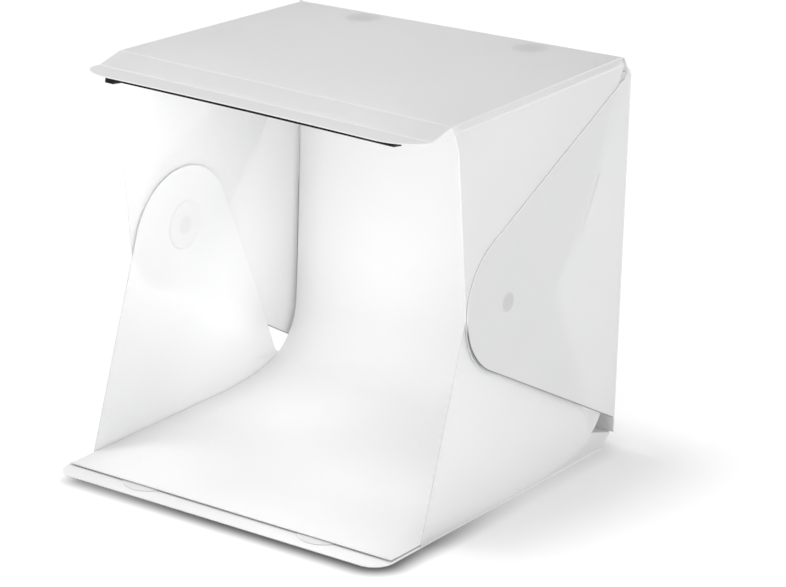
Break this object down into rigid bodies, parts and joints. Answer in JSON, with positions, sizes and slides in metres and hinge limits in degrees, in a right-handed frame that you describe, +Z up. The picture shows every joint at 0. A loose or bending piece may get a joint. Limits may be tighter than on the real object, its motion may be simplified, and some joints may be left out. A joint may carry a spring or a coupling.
{
  "type": "folding light tent",
  "caption": "Folding light tent cube: creased white plastic panels with magnetic side leaves, a curved backdrop sheet and a lamp bar under the visor.",
  "frame": {"origin": "middle of the tent's footprint, on the table that it stands on", "axes": "+Z up, the open front faces -Y, +X to the right seen from the front"},
  "size_m": [0.381, 0.3904, 0.3917],
  "materials": {
    "white_sheet": "satin translucent polypropylene sheet, 1 mm",
    "cover_film": "smooth thin white film",
    "backdrop": "matt white sheet, 0.6 mm",
    "magnet": "nickel plated",
    "lamp_black": "matt black moulding",
    "lamp_board": "white solder mask with yellow lamps",
    "lamp_diffuser": "milky acrylic",
    "tape": "foam tape",
    "pin": "plated contact"
  },
  "bodies": {
    "base": {"base_panel": "white_sheet", "left_base_magnet": "magnet", "right_base_magnet": "magnet", "left_base_magnet_cover": "cover_film", "right_base_magnet_cover": "cover_film", "bottom_spine": "white_sheet", "backdrop_sheet": "backdrop"},
    "back": {"back_panel": "white_sheet", "left_backdrop_pad": "cover_film", "right_backdrop_pad": "cover_film"},
    "top_spine": {"top_spine": "white_sheet"},
    "top": {"top_panel": "white_sheet", "left_top_magnet": "magnet", "right_top_magnet": "magnet", "left_top_magnet_cover": "cover_film", "right_top_magnet_cover": "cover_film", "left_top_band": "white_sheet", "right_top_band": "white_sheet"},
    "visor": {"visor_strip": "white_sheet"},
    "visor_tab": {"visor_tab": "white_sheet", "lamp_tape": "tape", "lamp_housing": "lamp_black", "lamp_board": "lamp_board", "lamp_diffuser": "lamp_diffuser", "lamp_end_cap": "lamp_black", "lamp_connector": "lamp_black", "left_lamp_pin": "pin", "right_lamp_pin": "pin"},
    "left_back_wing": {"left_back_wing": "white_sheet", "left_back_wing_magnet": "magnet", "left_back_wing_magnet_cover": "cover_film"},
    "left_top_flap": {"left_top_flap": "white_sheet", "left_top_flap_magnet": "magnet", "left_top_flap_magnet_cover": "cover_film"},
    "left_base_wing": {"left_base_wing": "white_sheet", "left_base_wing_magnet": "magnet", "left_base_wing_magnet_cover": "cover_film"},
    "right_back_wing": {"right_back_wing": "white_sheet", "right_back_wing_magnet": "magnet", "right_back_wing_magnet_cover": "cover_film"},
    "right_top_flap": {"right_top_flap": "white_sheet", "right_top_flap_magnet": "magnet", "right_top_flap_magnet_cover": "cover_film"},
    "right_base_wing": {"right_base_wing": "white_sheet", "right_base_wing_magnet": "magnet", "right_base_wing_magnet_cover": "cover_film"}
  },
  "joints": [
    {"name": "back_fold", "type": "hinge", "parent": "base", "child": "back", "pos_m": [0, 0.19515, 0.01286], "axis": [-1, 0, 0], "range_deg": [0, 90]},
    {"name": "top_spine_fold", "type": "hinge", "parent": "back", "child": "top_spine", "pos_m": [0, 0.19515, 0.37531], "axis": [-1, 0, 0], "range_deg": [0, 31.4]},
    {"name": "top_fold", "type": "hinge", "parent": "top_spine", "child": "top", "pos_m": [0, 0.18515, 0.3917], "axis": [-1, 0, 0], "range_deg": [0, 58.6]},
    {"name": "visor_fold", "type": "hinge", "parent": "top", "child": "visor", "pos_m": [0, -0.09885, 0.3917], "axis": [1, 0, 0], "range_deg": [-90, 60]},
    {"name": "visor_tab_fold", "type": "hinge", "parent": "visor", "child": "visor_tab", "pos_m": [0, -0.12944, 0.38458], "axis": [1, 0, 0], "range_deg": [-90, 75]},
    {"name": "left_back_wing_fold", "type": "hinge", "parent": "back", "child": "left_back_wing", "pos_m": [-0.1905, 0.194, 0.0283], "axis": [0, 0, -1], "range_deg": [0, 90]},
    {"name": "left_top_flap_fold", "type": "hinge", "parent": "top", "child": "left_top_flap", "pos_m": [-0.1885, 0.18815, 0.3715], "axis": [0, 0.9989, -0.047], "range_deg": [0, 45]},
    {"name": "left_base_wing_fold", "type": "hinge", "parent": "base", "child": "left_base_wing", "pos_m": [-0.1865, 0, 0.00115], "axis": [0, -1, 0], "range_deg": [0, 22.5]},
    {"name": "right_back_wing_fold", "type": "hinge", "parent": "back", "child": "right_back_wing", "pos_m": [0.1905, 0.194, 0.0283], "axis": [0, 0, 1], "range_deg": [0, 90]},
    {"name": "right_top_flap_fold", "type": "hinge", "parent": "top", "child": "right_top_flap", "pos_m": [0.1885, 0.18515, 0.385], "axis": [0, -1, 0], "range_deg": [0, 45]},
    {"name": "right_base_wing_fold", "type": "hinge", "parent": "base", "child": "right_base_wing", "pos_m": [0.1865, 0, 0.00115], "axis": [0, 1, 0], "range_deg": [0, 22.5]}
  ],
  "couplings": [
    {"joint": "top_spine_fold", "follows": "top_fold", "ratio": 0.5358},
    {"joint": "left_top_flap_fold", "follows": "left_back_wing_fold", "ratio": 0.5},
    {"joint": "left_base_wing_fold", "follows": "left_back_wing_fold", "ratio": 0.25},
    {"joint": "right_top_flap_fold", "follows": "right_back_wing_fold", "ratio": 0.5},
    {"joint": "right_base_wing_fold", "follows": "right_back_wing_fold", "ratio": 0.25}
  ]
}
